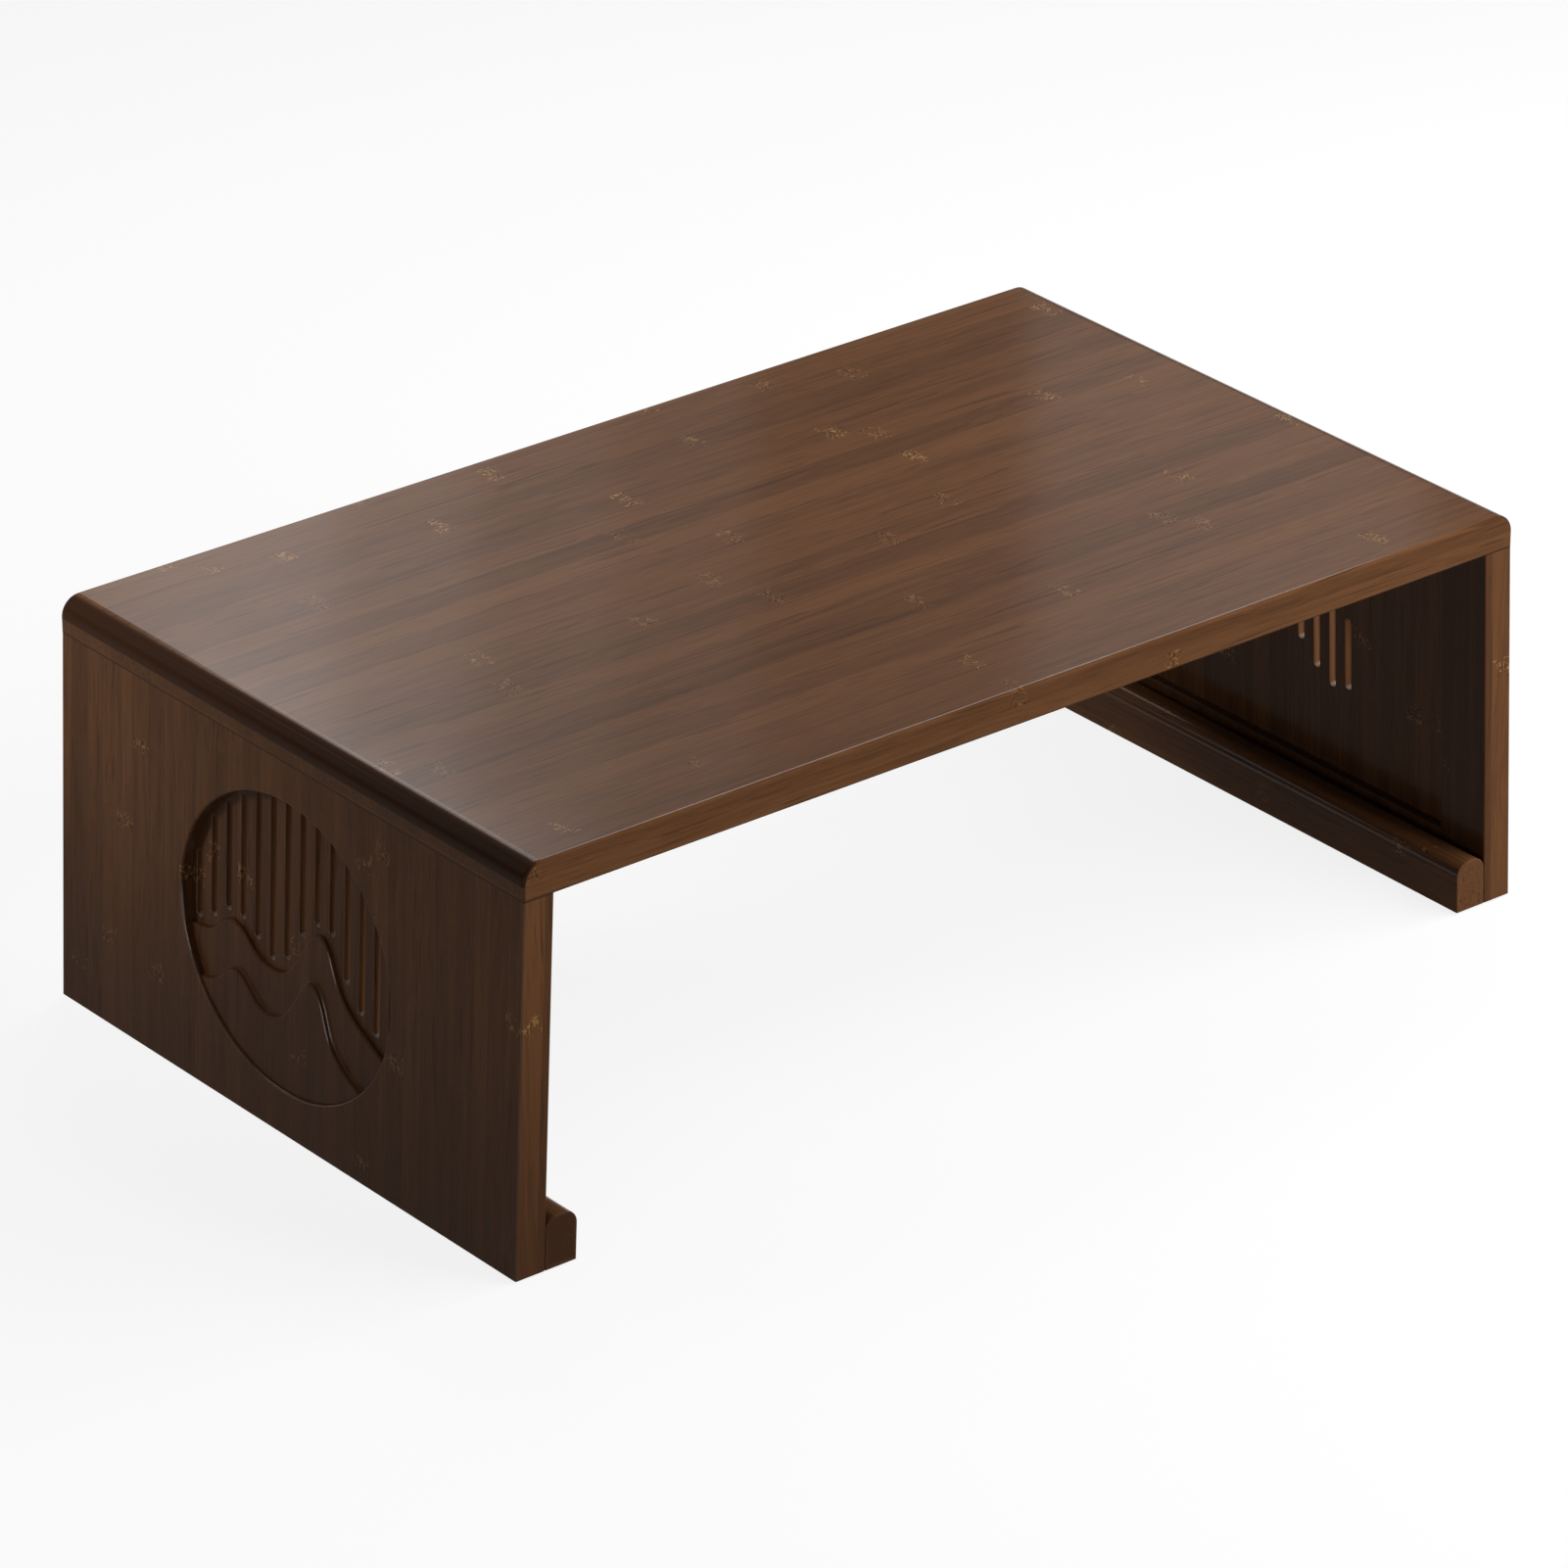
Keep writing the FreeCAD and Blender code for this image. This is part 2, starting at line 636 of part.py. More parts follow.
def make_cam_lock(name, spot):
    """A disc with a hollow for the bolt's head, a channel for its neck and a driver socket."""
    disc = cylinder(f"{name}_disc", "sizes.cam_diameter", cam_depth)
    disc.Placement.Rotation = FreeCAD.Rotation(FreeCAD.Vector(0, 0, 1), 90)
    hollow_reach = "(sizes.bolt_head_length / 2 + sizes.bolt_play)"
    hollow = cylinder(
        f"{name}_hollow", "sizes.bolt_head_diameter + 2 * sizes.bolt_play", f"2 * {hollow_reach}")
    channel = cylinder(
        f"{name}_channel", "sizes.bolt_diameter + 2 * sizes.bolt_play", "sizes.cam_diameter")
    for bore in (hollow, channel):
        bore.Placement.Rotation = FreeCAD.Rotation(FreeCAD.Vector(0, 1, 0), -90)
    socket = cylinder(f"{name}_socket", "sizes.cam_socket_diameter", "sizes.cam_socket_depth")
    put(hollow, x=hollow_reach, z="sizes.cam_past_bolt")
    put(channel, z="sizes.cam_past_bolt")
    put(socket, z=f"{cam_depth} - sizes.cam_socket_depth")
    hollows = doc.addObject("Part::MultiFuse", f"{name}_hollows")
    hollows.Shapes = [hollow, channel, socket]
    cam = doc.addObject("Part::Cut", name)
    cam.Base = disc
    cam.Tool = hollows
    lay_along_x(cam)
    put(cam, cam_end, spot, cam_lift)
    return cam


def make_cam_cap(name, spot):
    """A thin round cap whose stub sits in the cam's socket."""
    plate = cylinder(
        f"{name}_plate", "sizes.cam_diameter + 2 * sizes.cap_overlap", "sizes.cap_thick")
    stub = cylinder(
        f"{name}_stub", "sizes.cam_socket_diameter - 2 * sizes.cam_play", "sizes.cap_stub_length")
    put(stub, z="-sizes.cap_stub_length")
    cap = doc.addObject("Part::Fuse", name)
    cap.Base = plate
    cap.Tool = stub
    lay_along_x(cap)
    put(cap, "sizes.panel_thick", spot, cam_lift)
    return cap


def make_cam_bolts(label, side):
    return group(
        label, [make_cam_bolt(f"{label}_{i}", spot, side) for i, spot in enumerate(cam_spots)])


def make_pair_on_panel(label, side, make_one):
    """Two pieces made in the panel's own frame, one at each cam."""
    pair = group(label, [make_one(f"{label}_{i}", spot) for i, spot in enumerate(cam_spots)])
    seat_on_side(pair, side)
    return pair


def make_foot_pads(label, side):
    """Two felt pads that lie under the seam of panel and rail, near the front and the back."""
    seam = f"{panel_face} + sizes.foot_splay - sizes.panel_thick / {lean_cosine}"
    pads = []
    for i, way in enumerate((-1, 1)):
        felt = cylinder(f"{label}_{i}", "sizes.pad_diameter", "sizes.pad_thick")
        put(felt, f"{side} * ({seam})", f"{way} * ({half_width} - sizes.pad_inset)")
        pads.append(felt)
    return group(label, pads)


sub_parts = [make_top()]
for word, side in (("left", -1), ("right", 1)):
    sub_parts += [
        make_side_panel(f"{word}_side_panel", side),
        make_foot_rail(f"{word}_foot_rail", side),
        make_top_dowels(f"{word}_top_dowels", side),
        make_rail_dowels(f"{word}_rail_dowels", side),
        make_cam_bolts(f"{word}_cam_bolts", side),
        make_pair_on_panel(f"{word}_cam_locks", side, make_cam_lock),
        make_pair_on_panel(f"{word}_cam_caps", side, make_cam_cap),
        make_foot_pads(f"{word}_foot_pads", side),
    ]
doc.recompute()

failed = [part.Label for part in doc.Objects if {"Invalid", "Error"} & set(part.State)]
failed += [part.Label for part in sub_parts if part.Shape.isNull() or not part.Shape.isValid()]
if failed:
    raise RuntimeError("not built: " + ", ".join(failed))

os.makedirs("parts", exist_ok=True)
for part in sub_parts:
    part.Shape.exportStep(os.path.join("parts", f"{part.Label}.step"))
    box = part.Shape.BoundBox
    print(f"{part.Label}: {len(part.Shape.Solids)} solid, X {box.XMin:.1f} to {box.XMax:.1f},"
          f" Y {box.YMin:.1f} to {box.YMax:.1f}, Z {box.ZMin:.1f} to {box.ZMax:.1f}")
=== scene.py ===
import math
import bpy
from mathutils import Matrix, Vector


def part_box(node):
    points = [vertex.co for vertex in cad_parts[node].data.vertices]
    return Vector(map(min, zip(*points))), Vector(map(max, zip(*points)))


# Low floor table in dark stained bamboo board: its finishes, the floor, the lamps and the camera.
# Metres. X runs along the table, -Y is the front and Z is up.

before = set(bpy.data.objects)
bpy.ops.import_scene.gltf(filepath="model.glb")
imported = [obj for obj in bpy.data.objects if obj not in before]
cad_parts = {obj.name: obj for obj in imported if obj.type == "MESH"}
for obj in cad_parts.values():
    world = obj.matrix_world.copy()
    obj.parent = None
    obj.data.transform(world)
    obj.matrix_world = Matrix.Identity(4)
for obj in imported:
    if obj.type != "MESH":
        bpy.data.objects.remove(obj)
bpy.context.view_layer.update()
bpy.ops.object.select_all(action="DESELECT")


class Field:
    """A value that varies over a surface: a node's output that takes part in sums."""

    def __init__(self, finish, socket):
        self.finish = finish
        self.socket = socket

    def maths(self, operation, first, second=0.0):
        return self.finish.node("ShaderNodeMath", {"operation": operation}, {0: first, 1: second})

    def __add__(self, other):
        return self.maths("ADD", self, other)

    def __radd__(self, other):
        return self.maths("ADD", other, self)

    def __sub__(self, other):
        return self.maths("SUBTRACT", self, other)

    def __rsub__(self, other):
        return self.maths("SUBTRACT", other, self)

    def __mul__(self, other):
        return self.maths("MULTIPLY", self, other)

    def __rmul__(self, other):
        return self.maths("MULTIPLY", other, self)

    def __truediv__(self, other):
        return self.maths("DIVIDE", self, other)

    def __abs__(self):
        return self.maths("ABSOLUTE", self)

    def floor(self):
        return self.maths("FLOOR", self)

    def least(self, other):
        return self.maths("MINIMUM", self, other)

    def most(self, other):
        return self.maths("MAXIMUM", self, other)

    def over(self, limit):
        return self.maths("GREATER_THAN", self, limit)


class Finish:
    """A material in the making, with its shader and the nodes that feed it."""

    def __init__(self, name, shader="ShaderNodeBsdfPrincipled", **constants):
        self.material = bpy.data.materials.new(name)
        self.material.use_nodes = True
        self.tree = self.material.node_tree
        self.tree.nodes.clear()
        output = self.tree.nodes.new("ShaderNodeOutputMaterial")
        self.shader = self.tree.nodes.new(shader)
        self.tree.links.new(self.shader.outputs[0], output.inputs["Surface"])
        self.feed(**constants)

    def connect(self, node, sockets):
        for name, value in sockets.items():
            if isinstance(value, Field):
                self.tree.links.new(value.socket, node.inputs[name])
            else:
                node.inputs[name].default_value = value

    def feed(self, **sockets):
        """Set or drive the shader's own sockets, named with underscores for spaces."""
        self.connect(self.shader, {name.replace("_", " "): value for name, value in sockets.items()})

    def node(self, kind, settings=None, sockets=None, output=0):
        """Add a node: its settings first, then the values or links of its sockets."""
        node = self.tree.nodes.new(kind)
        for name, setting in (settings or {}).items():
            if name == "stops":
                self.set_stops(node.color_ramp, setting)
            else:
                setattr(node, name, setting)
        self.connect(node, sockets or {})
        return Field(self, node.outputs[output])

    @staticmethod
    def set_stops(ramp, stops):
        while len(ramp.elements) < len(stops):
            ramp.elements.new(1.0)
        for element, (place, colour) in zip(ramp.elements, stops):
            element.position = place
            element.color = (*colour, 1.0)

    def coordinates(self, output="Object"):
        place = self.node("ShaderNodeTexCoord", output=output)
        return [self.node("ShaderNodeSeparateXYZ", sockets={0: place}, output=i) for i in range(3)]

    def vector(self, x, y, z):
        return self.node("ShaderNodeCombineXYZ", sockets={0: x, 1: y, 2: z})

    def noise(self, vector, scale=1.0, detail=2.0, roughness=0.5):
        return self.node(
            "ShaderNodeTexNoise", sockets={
                "Vector": vector, "Scale": scale, "Detail": detail, "Roughness": roughness})

    def chance(self, vector):
        """Three even random values for each whole-number place."""
        colour = self.node("ShaderNodeTexWhiteNoise", sockets={"Vector": vector}, output="Color")
        return [self.node("ShaderNodeSeparateColor", sockets={0: colour}, output=i) for i in range(3)]

    def rise(self, value, start, end):
        """Zero before start, one after end, and smooth between them."""
        return self.node(
            "ShaderNodeMapRange", {"interpolation_type": "SMOOTHSTEP"},
            {"Value": value, "From Min": start, "From Max": end})

    def fall(self, value, start, end):
        """One before start, zero after end, and smooth between them."""
        return 1.0 - self.rise(value, start, end)

    def mix(self, share, first, second):
        """A colour that goes from the first to the second."""
        first, second = (c if isinstance(c, Field) else (*c, 1.0) for c in (first, second))
        return self.node(
            "ShaderNodeMix", {"data_type": "RGBA"}, {0: share, 6: first, 7: second}, output=2)

    def bump(self, height, distance, strength):
        return self.node("ShaderNodeBump", sockets={
            "Height": height, "Distance": distance, "Strength": strength})


x_axis, y_axis, z_axis = range(3)

# Colours of the stained board, and of the light painted into its slots, as linear red, green and blue
dark_streak = (0.030, 0.0125, 0.0058)
brown_fibre = (0.072, 0.0300, 0.0125)
warm_brown = (0.118, 0.0495, 0.0195)
light_strip = (0.172, 0.0760, 0.0310)
node_tan = (0.38, 0.195, 0.070)
node_dark = (0.024, 0.011, 0.006)
worn_edge = (0.19, 0.095, 0.045)
# Cut wood in the slots, as bright as it shows where light falls on it: partly painted light
cut_wood_and_light = (0.24, 0.105, 0.045)
# A painted highlight for the slots' feet that face up
painted_foot_glint = (0.27, 0.215, 0.175)

# Where the boards meet: the top's underside and bead, and the panels' outer face and lean
top_overhang = 0.001
bead_rise = 0.0125
top_low, top_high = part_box("tabletop")
panel_low, panel_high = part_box("right_side_panel")
joint_height = top_low[z_axis]
joint_face = top_high[x_axis] - top_overhang
panel_lean = (panel_high[x_axis] - joint_face) / (joint_height - panel_low[z_axis])
bead_foot = joint_height + bead_rise

# The panels' carving, and the height that the painted shade at their foot reaches: depths below the
# outer face, reach from the middle and heights
rim_depth = 0.0019
sky_depth = 0.010
field_thick = 0.0195
round_reach = 0.140
slot_lowest = 0.06
slot_highest = 0.2885
foot_shade_height = 0.26

# The bamboo strips' widths and the plies' thickness
top_strip = 0.027
top_ply = 0.015
panel_strip = 0.021
rail_strip = 0.009
rail_ply = 0.018

# The grain's layers, in waves per metre along it and across it
wander_waves = (7.0, 24.0)
band_waves = (1.6, 62.0)
dash_waves = (9.0, 300.0)
fibre_waves = (28.0, 1400.0)
stroke_waves = (190.0, 260.0)

# The grain's mean tone, and how much each layer changes it
mean_tone = 0.56
strip_contrast = 0.20
band_contrast = 0.38
dash_contrast = 0.60
fibre_contrast = 0.30

# How much of the colour under it each stain, wear or painted shade covers
dash_stain = 0.60
glue_stain = 0.35
dark_strokes = 0.60
pale_strokes = 0.75
edge_wear = 0.22
seam_stain = 0.75
bead_stain = 0.96
panel_end_stain = 0.55
face_stain_and_shade = 0.14
streak_stain = 0.32
hollow_shade = 0.18
strokes_kept = 0.30
inner_ply_stain = 0.35

# The lacquer's weight: on upward faces, on the edges of the carving and the rails, and elsewhere
top_gloss = 0.95
carving_gloss = 0.90
rail_gloss = 0.40
least_gloss = 0.05

# Where an end of the grain starts and is full, by how squarely the surface faces along the grain
cut_end = (0.35, 0.75)
bead_end = (0.06, 0.40)


class Board(Finish):
    """Laminated bamboo: strips side by side and in plies, stained dark and lacquered."""

    def __init__(self, name, node, grain, across, leans=False):
        super().__init__(name, Specular_IOR_Level=0.02, Coat_Roughness=0.14, Coat_IOR=1.5)
        self.low, self.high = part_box(node)
        self.places = self.coordinates()
        self.facing = self.coordinates("Normal")
        deep = next(axis for axis in range(3) if axis not in (grain, across))
        self.along = self.places[grain]
        self.wide = self.places[across]
        self.depth = self.places[deep]
        self.height = self.places[z_axis]
        self.upward = self.facing[z_axis]
        self.endways = abs(self.facing[grain])
        self.flatness = abs(self.facing[deep])
        self.smudge = self.noise(self.vector(*self.places), scale=9.0, detail=3.0)
        if leans:
            self.sunk = joint_face + (joint_height - self.along) * panel_lean - abs(self.depth)
        else:
            self.sunk = self.high[deep] - self.depth

    def tint(self, share, colour):
        self.colour = self.mix(share, self.colour, colour)

    def layer(self, waves, along, wide, depth, **options):
        """Noise that is drawn out along the grain."""
        lengthways, crossways = waves
        place = self.vector(along * lengthways, wide * crossways, depth * crossways)
        return self.noise(place, **options)

    def lay_strips(self, strip_width, ply_thick, ends):
        """Lay the grain: each strip's tone, its bands, dashes and fibres, the glue lines and nodes."""
        strip_offset = 0.37
        strip_seed = 1.0
        most_shift = 3.0
        wander_width = 0.010
        strip_place = self.wide / strip_width + strip_offset
        strip = strip_place.floor()
        ply = (self.sunk / ply_thick).floor()
        tone_chance, shift_chance, node_chance = self.chance(self.vector(strip, ply, strip_seed))
        shifted = self.along + shift_chance * most_shift
        wander = self.layer(wander_waves, shifted, self.wide, self.depth, detail=1.0) * wander_width
        veined = self.wide + wander
        layered = self.depth + wander

        self.bands = self.layer(band_waves, shifted, veined, layered)
        self.dashes = self.layer(dash_waves, shifted, veined, layered)
        self.fibres = self.layer(fibre_waves, shifted, veined, layered, detail=1.0)
        tone = mean_tone + (tone_chance - 0.5) * strip_contrast * (1.0 - ends)
        tone = tone + (self.bands - 0.5) * band_contrast
        tone = tone + (self.dashes - 0.5) * dash_contrast
        tone = tone + (self.fibres - 0.5) * fibre_contrast
        self.colour = self.node("ShaderNodeValToRGB", {"stops": [
            (0.10, dark_streak), (0.36, brown_fibre), (0.60, warm_brown), (0.92, light_strip)]},
            {"Fac": tone})
        dark_dashes = self.rise(self.dashes, 0.54, 0.66) * self.rise(self.bands, 0.40, 0.56)
        self.tint(dark_dashes * dash_stain, dark_streak)

        in_strip = strip_place - strip
        glue = self.fall(in_strip.least(1.0 - in_strip), 0.012, 0.045) * shift_chance
        self.tint(glue * glue_stain * (1.0 - ends), dark_streak)
        self.scribble_nodes(strip, ply, node_chance)

    def scribble_nodes(self, strip, ply, shift_chance):
        """Draw clusters of dark and pale strokes where a bamboo stalk had a node."""
        node_gap = 0.27
        most_gaps = 7.3
        node_seed = 5.0
        first_place, place_spread = 0.3, 0.4
        hidden_share = 0.52
        raggedness = 0.030
        turn = self.along / node_gap + shift_chance * most_gaps
        cell = turn.floor()
        shown, slide, strength = self.chance(self.vector(strip, cell, ply + node_seed))
        from_node = (turn - cell - first_place - slide * place_spread) * node_gap
        pale_lines = self.layer(
            stroke_waves, self.along, self.wide, self.depth, detail=1.0, roughness=0.4)
        dark_lines = self.noise(
            self.vector(self.along * 230.0 + 40.0, self.wide * 210.0, self.depth * 210.0), detail=1.0)
        ragged = self.noise(
            self.vector(self.along * 70.0, self.wide * 110.0, self.depth * 110.0 + 9.0), detail=1.0)
        cluster = self.fall(abs(from_node) + (ragged - 0.5) * raggedness, 0.006, 0.011)
        cluster = cluster * shown.over(hidden_share) * self.rise(ragged, 0.40, 0.50)
        dark = self.fall(abs(dark_lines - 0.5), 0.020, 0.070) * cluster
        self.pale = self.fall(abs(pale_lines - 0.5), 0.015, 0.060) * cluster * (0.35 + strength * 0.65)
        self.tint(dark * dark_strokes, node_dark)
        self.tint(self.pale * pale_strokes, node_tan)

    def wear_edges(self):
        """Rub the edges of the board's box paler here and there, and darken the seam at the joint."""
        near = [
            0.5 * (high - low) - abs(place - 0.5 * (low + high))
            for place, low, high in zip(self.places, self.low, self.high)
        ]
        small = near[0].least(near[1])
        large = near[0].most(near[1])
        from_edge = small.most(large.least(near[2]))
        worn = self.fall(from_edge, 0.0008, 0.0045) * self.rise(self.smudge, 0.35, 0.7)
        self.tint(worn * edge_wear, worn_edge)
        seam = self.fall(abs(self.height - joint_height), 0.0003, 0.0012)
        self.tint(seam * seam_stain, node_dark)

    def stain_faces(self, foot_shade):
        """Stain a panel's faces in streaks and in the inner ply; paint shade on the flat faces, deeper
        in the carving and at the foot.
        """
        face = self.rise(self.flatness, 0.80, 0.95)
        streaks = self.rise(self.bands, 0.38, 0.62)
        self.below_rim = self.rise(self.sunk, rim_depth, rim_depth + 0.0003)
        # The flat faces' darkening is partly stain and partly painted shade; the extra darkening in the
        # carving's hollow is painted shade; the streaks are the grain's stain
        stain = face_stain_and_shade + streaks * streak_stain + self.below_rim * hollow_shade
        self.tint(face * stain, dark_streak)
        # Painted shade, darker towards the panel's foot
        self.tint(foot_shade * self.fall(self.height, 0.0, foot_shade_height), dark_streak)
        self.tint(face * self.pale * strokes_kept, node_tan)
        inner_ply = self.rise(self.sunk, field_thick + 0.0004, field_thick + 0.0012)
        self.tint(inner_ply * inner_ply_stain, dark_streak)

    def cut_slots(self, cut_and_light_share):
        """Show cut wood with painted light on the deeper part of a panel's slot walls, by the given
        share, and a painted highlight on the slots' upward feet.
        """
        in_slot = self.rise(self.sunk, sky_depth + 0.0002, sky_depth + 0.0010)
        in_slot = in_slot * self.fall(self.flatness, 0.45, 0.75)
        in_slot = in_slot * (1.0 - abs(self.wide).over(round_reach))
        in_slot = in_slot * self.height.over(slot_lowest) * (1.0 - self.height.over(slot_highest))
        # Painted light: the slot walls are lighter where they lie deeper in the panel
        lit_slot_wall = in_slot * self.rise(self.sunk, sky_depth + 0.0025, sky_depth + 0.0055)
        self.tint(lit_slot_wall * (0.65 + self.dashes * 0.4) * cut_and_light_share, cut_wood_and_light)
        # A painted highlight on the slots' feet that face up
        self.tint(in_slot * self.rise(self.upward, 0.35, 0.80), painted_foot_glint)

    def rounded_edges(self):
        """Where the board's flat face turns over a rounded edge."""
        return self.rise(self.flatness, 0.05, 0.25) * self.fall(self.flatness, 0.93, 0.998)

    def carved_edges(self):
        """The carving's rounded edges that face up and, below the rim, to the front: not the slots'."""
        edges = self.rounded_edges() * self.fall(self.sunk, sky_depth + 0.001, sky_depth + 0.003)
        edges = edges * self.rise(self.upward, -0.02, 0.10)
        return edges * self.fall(self.facing[y_axis] + self.below_rim * 0.45, 0.05, 0.30)

    def lacquer(self, edge_gloss):
        """Polish the upward faces, and the edges by the given gloss."""
        polished = self.rise(self.upward, 0.75, 0.97) * top_gloss
        gloss = polished.most(edge_gloss).most(least_gloss)
        self.feed(
            Base_Color=self.colour,
            Roughness=0.42 + (self.dashes - 0.5) * 0.2 + (self.smudge - 0.5) * 0.15,
            Coat_Weight=gloss * (0.85 + self.smudge * 0.3),
            Normal=self.bump(self.fibres * 0.5 + self.dashes + self.pale, 0.00025, 0.30))
        return self.material


def top_board():
    """The top: grain along the table, and at each end a dark bead above a plainer strip."""
    plain_share = 0.35
    board = Board("top_board", "tabletop", x_axis, y_axis)
    bead = board.rise(board.height, bead_foot - 0.0005, bead_foot + 0.0005)
    ends = board.rise(board.endways, *bead_end) * (plain_share + (1.0 - plain_share) * bead)
    board.lay_strips(top_strip, top_ply, ends)
    board.tint(ends * bead_stain, dark_streak)
    board.wear_edges()
    return board.lacquer(0.0)


def panel_board(side, cut_and_light_share, foot_shade):
    """A carved side panel: upright grain, and an inner ply left as a border round the sunk field."""
    board = Board(f"{side}_panel_board", f"{side}_side_panel", z_axis, y_axis, leans=True)
    ends = board.rise(board.endways, *cut_end)
    board.lay_strips(panel_strip, field_thick, ends)
    board.tint(ends * panel_end_stain, dark_streak)
    board.wear_edges()
    board.stain_faces(foot_shade)
    board.cut_slots(cut_and_light_share)
    return board.lacquer(board.carved_edges() * carving_gloss)


def rail_wood(side, end_stain_and_shade):
    """A foot rail: grain along the rail, and ends darkened by the given share, an end-grain stain that
    on the left rail stands in for shade.
    """
    board = Board(f"{side}_rail_wood", f"{side}_foot_rail", y_axis, x_axis)
    ends = board.rise(board.endways, *cut_end)
    board.lay_strips(rail_strip, rail_ply, ends)
    # The ends' darkening: end-grain stain, and painted shade on the left rail
    board.tint(ends * end_stain_and_shade, dark_streak)
    board.wear_edges()
    return board.lacquer(board.rounded_edges() * rail_gloss)


def dowel_beech():
    """Bare beech: short dark rays on a pale ground."""
    pale_beech, warm_beech, dark_ray = (0.66, 0.45, 0.27), (0.52, 0.33, 0.18), (0.36, 0.20, 0.10)
    finish = Finish("bare_beech", Specular_IOR_Level=0.3)
    place = finish.vector(*finish.coordinates())
    rays = finish.noise(place, scale=900.0)
    ground = finish.noise(place, scale=160.0, detail=3.0)
    colour = finish.mix(ground, warm_beech, pale_beech)
    finish.feed(
        Base_Color=finish.mix(finish.rise(rays, 0.58, 0.72) * 0.5, colour, dark_ray),
        Roughness=0.6 + (ground - 0.5) * 0.3,
        Normal=finish.bump(rays, 0.0002, 0.4))
    return finish.material


def zinc_steel():
    """Zinc plate: a cool grey with a faint mottle and fine turning marks."""
    dull_zinc, bright_zinc = (0.50, 0.50, 0.49), (0.68, 0.67, 0.63)
    finish = Finish("zinc_plate", Metallic=1.0)
    x, y, z = finish.coordinates()
    mottle = finish.noise(finish.vector(x, y, z), scale=420.0, detail=4.0)
    rings = finish.noise(finish.vector(x * 300.0, y * 300.0, z * 2600.0), detail=1.0)
    finish.feed(
        Base_Color=finish.mix(mottle, dull_zinc, bright_zinc),
        Roughness=0.28 + mottle * 0.2,
        Normal=finish.bump(rings, 0.0001, 0.3))
    return finish.material


def moulded_plastic():
    """Brown plastic with a fine moulded grain, rubbed paler here and there."""
    dark_plastic, rubbed_plastic = (0.040, 0.020, 0.011), (0.075, 0.040, 0.023)
    finish = Finish("brown_moulding", Specular_IOR_Level=0.35)
    place = finish.vector(*finish.coordinates())
    grain = finish.noise(place, scale=2200.0)
    rubbed = finish.noise(place, scale=140.0, detail=3.0)
    finish.feed(
        Base_Color=finish.mix(finish.rise(rubbed, 0.4, 0.75), dark_plastic, rubbed_plastic),
        Roughness=0.42 + grain * 0.2,
        Normal=finish.bump(grain, 0.0001, 0.5))
    return finish.material


def pressed_felt():
    """Dark brown felt: matted fibres with flecks of paler wool."""
    dark_felt, brown_felt, pale_wool = (0.030, 0.021, 0.015), (0.085, 0.064, 0.048), (0.17, 0.14, 0.11)
    finish = Finish("pressed_felt", Specular_IOR_Level=0.1, Sheen_Weight=0.3, Sheen_Roughness=0.5)
    place = finish.vector(*finish.coordinates())
    matting = finish.noise(place, scale=900.0, detail=4.0, roughness=0.65)
    wool = finish.noise(place, scale=2600.0)
    colour = finish.mix(matting, dark_felt, brown_felt)
    finish.feed(
        Base_Color=finish.mix(finish.rise(wool, 0.62, 0.75) * 0.6, colour, pale_wool),
        Roughness=0.85 + matting * 0.15,
        Normal=finish.bump(matting + wool * 0.5, 0.0006, 0.8))
    return finish.material


def give(finish, *nodes):
    for node in nodes:
        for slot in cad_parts[node].material_slots:
            slot.material = finish


def finish_table():
    """Give each piece its finish. The left side gets more painted shade and less painted light than the
    right.
    """
    give(top_board(), "tabletop")
    beech = dowel_beech()
    zinc = zinc_steel()
    plastic = moulded_plastic()
    felt = pressed_felt()

    # Shares of cut wood and painted light in the slots, of painted shade at the panel's foot, and of
    # end-grain stain and painted shade on the rail's ends
    shares = {"left": (0.45, 0.50, 0.80), "right": (1.0, 0.0, 0.0)}
    for side, (cut_and_light_share, foot_shade, rail_end_stain_and_shade) in shares.items():
        give(panel_board(side, cut_and_light_share, foot_shade), f"{side}_side_panel")
        give(rail_wood(side, rail_end_stain_and_shade), f"{side}_foot_rail")
        give(beech, f"{side}_top_dowels", f"{side}_rail_dowels")
        give(zinc, f"{side}_cam_bolts", f"{side}_cam_locks")
        give(plastic, f"{side}_cam_caps")
        give(felt, f"{side}_foot_pads")


def lay_floor():
    """A wide pale floor. It shows as near white, keeps the table's shadow and is open from below."""
    floor_width = 60.0
    gap_under_feet = 0.0002
    glow_share = 0.85
    grey_paint = (0.18, 0.178, 0.176, 1.0)
    bright_paint = (0.90, 0.895, 0.89, 1.0)
    bpy.ops.mesh.primitive_plane_add(size=floor_width, location=(0.0, 0.0, -gap_under_feet))
    floor = bpy.context.object
    floor.name = "pale_floor"
    finish = Finish("floor_paint", "ShaderNodeMixShader")
    camera, glossy, through = (
        finish.node("ShaderNodeLightPath", output=f"Is {kind} Ray")
        for kind in ("Camera", "Glossy", "Transmission")
    )
    grey = finish.node("ShaderNodeBsdfDiffuse", sockets={"Color": grey_paint})
    bright = finish.node("ShaderNodeBsdfDiffuse", sockets={"Color": bright_paint})
    glow = finish.node("ShaderNodeEmission", sockets={"Color": (1.0, 1.0, 1.0, 1.0)})
    shown = finish.node("ShaderNodeMixShader", sockets={0: glow_share, 1: bright, 2: glow})
    seen = camera.most(glossy).most(through)
    upper = finish.node("ShaderNodeMixShader", sockets={0: seen, 1: grey, 2: shown})
    below = finish.node("ShaderNodeNewGeometry", output="Backfacing")
    clear = finish.node("ShaderNodeBsdfTransparent")
    finish.connect(finish.shader, {0: below, 1: upper, 2: clear})
    floor.data.materials.append(finish.material)


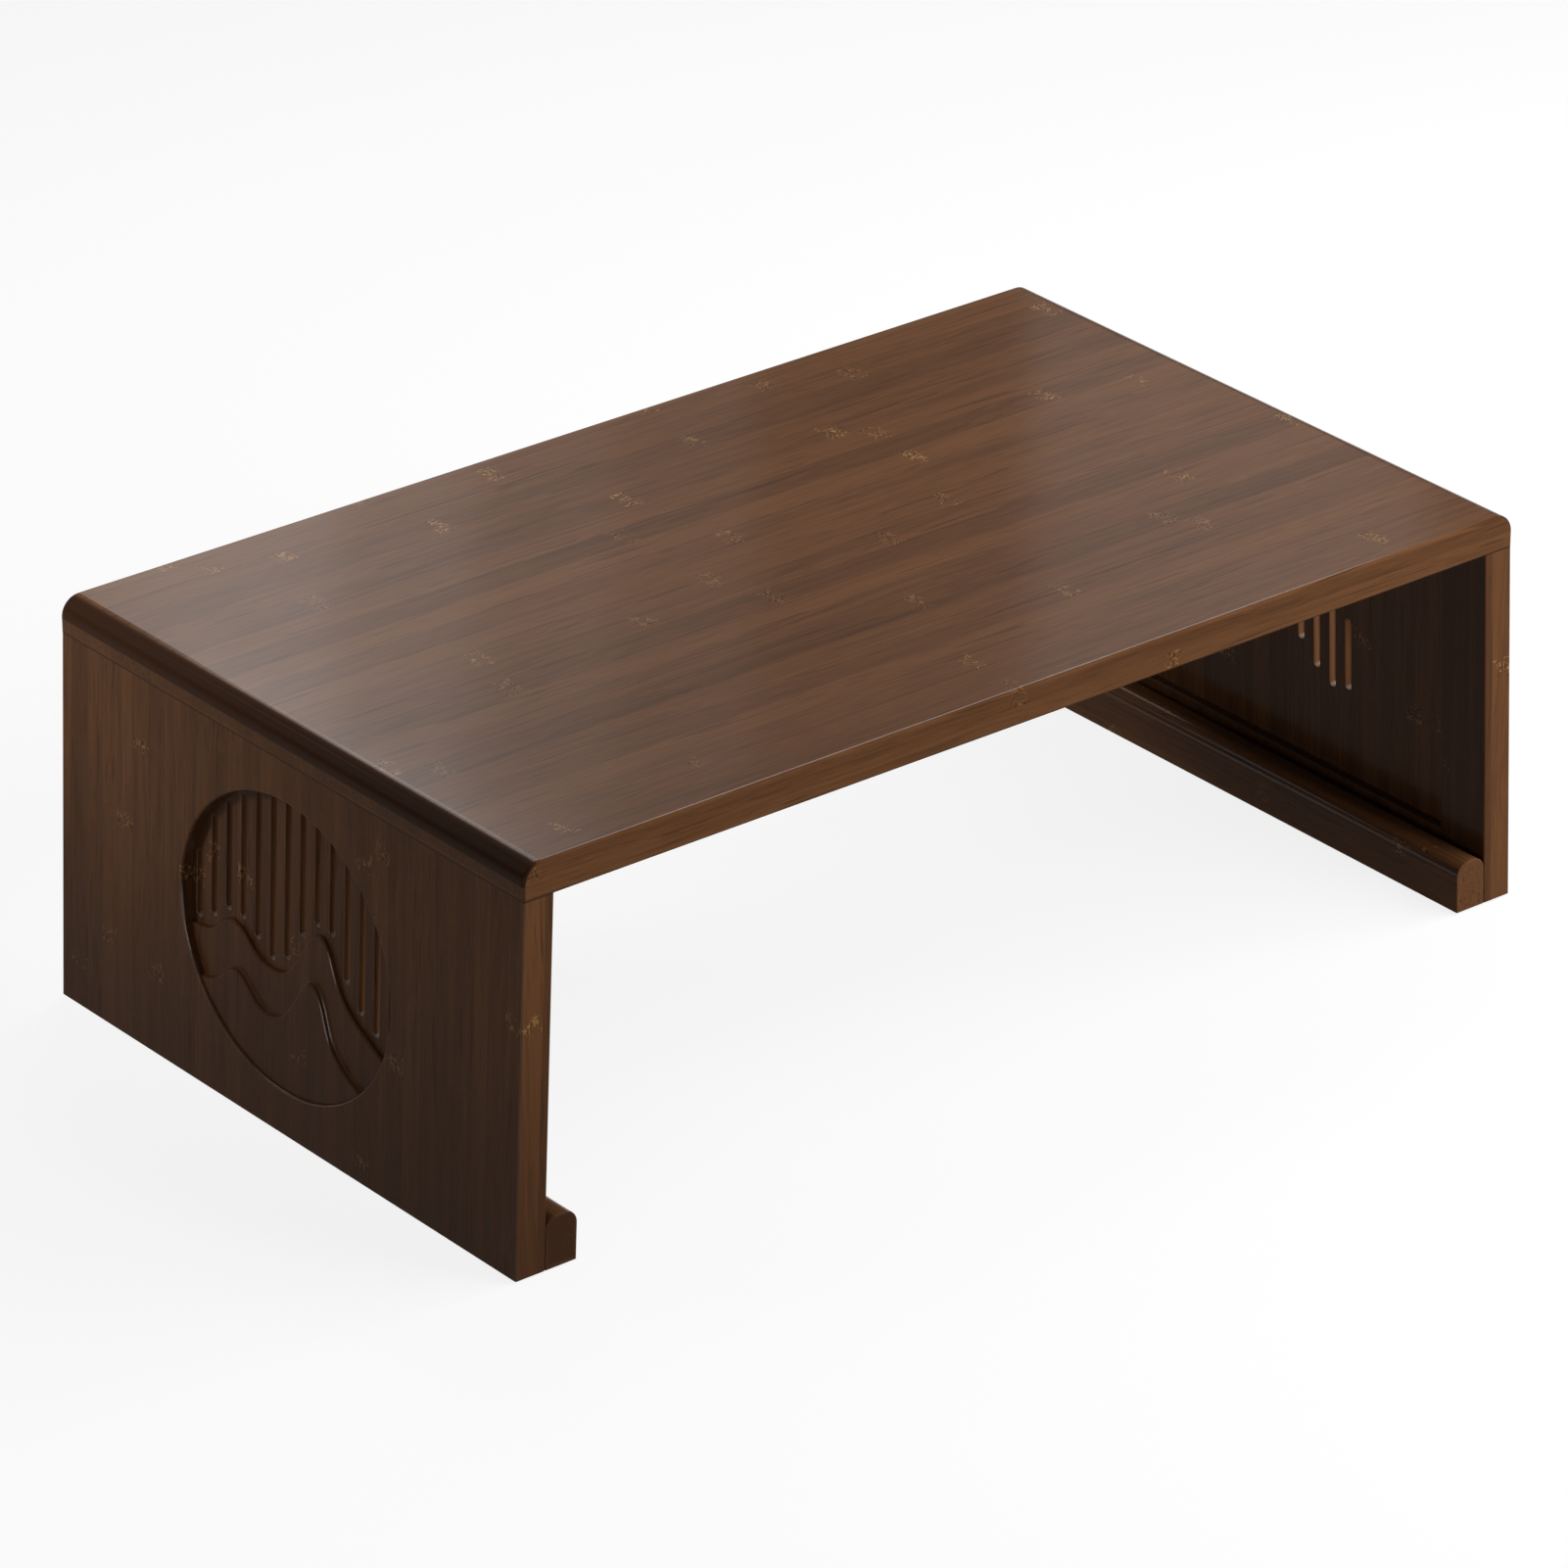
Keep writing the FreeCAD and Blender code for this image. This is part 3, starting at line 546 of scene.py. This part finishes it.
def hang_lamp(name, place, aim, width, height, power, spread=180.0, mirrored=True):
    """A soft box that faces its aim, with a beam of the given spread in degrees. The lacquer shows
    its image only if it is mirrored."""
    lamp = bpy.data.lights.new(name, "AREA")
    lamp.shape = "RECTANGLE"
    lamp.size = width
    lamp.size_y = height
    lamp.energy = power
    lamp.spread = math.radians(spread)
    holder = bpy.data.objects.new(name, lamp)
    bpy.context.scene.collection.objects.link(holder)
    holder.visible_camera = False
    holder.visible_glossy = mirrored
    holder.location = place
    away = holder.location - Vector(aim)
    holder.rotation_euler = away.to_track_quat("Z", "Y").to_euler()


def hang_sheen_strips():
    """Upright strips of light that the top mirrors: four of falling strength and one further right."""
    tall = 0.95
    middle = Vector((0.64, 1.68, 1.25))
    to_right = Vector((0.77873, -0.62736, 0.0))
    to_table = Vector((-0.56096, -0.69633, -0.44771))

    # Each strip's two edges, to the right of the middle, and its radiance
    strips = [
        (-0.177, 0.09, 1.00), (0.09, 0.232, 0.62), (0.232, 0.374, 0.32), (0.374, 0.516, 0.16),
        (0.80, 1.20, 0.30)]
    for i, (start, end, radiance) in enumerate(strips):
        place = middle + to_right * (0.5 * (start + end))
        width = end - start
        power = radiance * math.pi * width * tall
        hang_lamp(f"sheen_strip_{i}", place, place + to_table, width, tall, power)


def light_the_room():
    """A dim white room, with soft boxes that light the table and others that its lacquer mirrors."""
    room_light = 0.10
    world = bpy.data.worlds.new("soft_room")
    world.use_nodes = True
    background = world.node_tree.nodes["Background"]
    background.inputs["Color"].default_value = (1.0, 1.0, 1.0, 1.0)
    background.inputs["Strength"].default_value = room_light
    bpy.context.scene.world = world

    # Light on the front, on the right and on the back corner of the left panel
    hang_lamp("key_box", (1.8, -2.45, 1.95), (0.0, -0.2, 0.25), 2.6, 2.6, 128.0, mirrored=False)
    hang_lamp("right_box", (2.4, -0.75, 1.1), (0.5, 0.0, 0.2), 0.8, 0.8, 40.0, mirrored=False)
    hang_lamp(
        "corner_glow", (-1.45, 0.85, 1.0), (-0.5, 0.36, 0.38), 0.3, 0.3, 0.8, spread=40.0,
        mirrored=False)

    # Glints on the left panel's carving, the left bead and the top's front edge
    carving = (-0.5, 0.0, 0.16)
    hang_lamp("slot_spark", (-1.4, 1.4, 1.3), carving, 0.90, 0.90, 2.8)
    hang_lamp("hill_spark", (-2.26, -1.28, 0.42), carving, 0.70, 0.70, 7.0)
    hang_lamp("left_bead_glow", (0.418, 1.5, 1.596), (-0.5, 1.5, 0.35), 0.7, 0.714, 1.8)
    hang_lamp("front_edge_glow", (1.234, 0.851, 1.761), (1.234, -0.3, 0.35), 1.1, 0.64, 7.0)

    # Light on the back of the top, and the sheen across it
    hang_lamp("back_box", (0.55, 0.85, 2.6), (0.25, 0.25, 0.35), 0.8, 0.8, 13.0, mirrored=False)
    hang_sheen_strips()


def set_camera():
    """The photograph's view, fitted to the table's own edges."""
    camera = bpy.data.cameras.new("photo_camera")
    camera.sensor_width = 36.0
    camera.lens = 202.05
    camera.clip_end = 200.0
    holder = bpy.data.objects.new("photo_camera", camera)
    bpy.context.scene.collection.objects.link(holder)
    holder.location = (-3.98461, -4.92939, 3.30728)
    holder.rotation_euler = (math.radians(63.492), 0.0, math.radians(-38.879))
    bpy.context.scene.camera = holder


finish_table()
lay_floor()
light_the_room()
set_camera()
bpy.context.scene.view_settings.view_transform = "Standard"
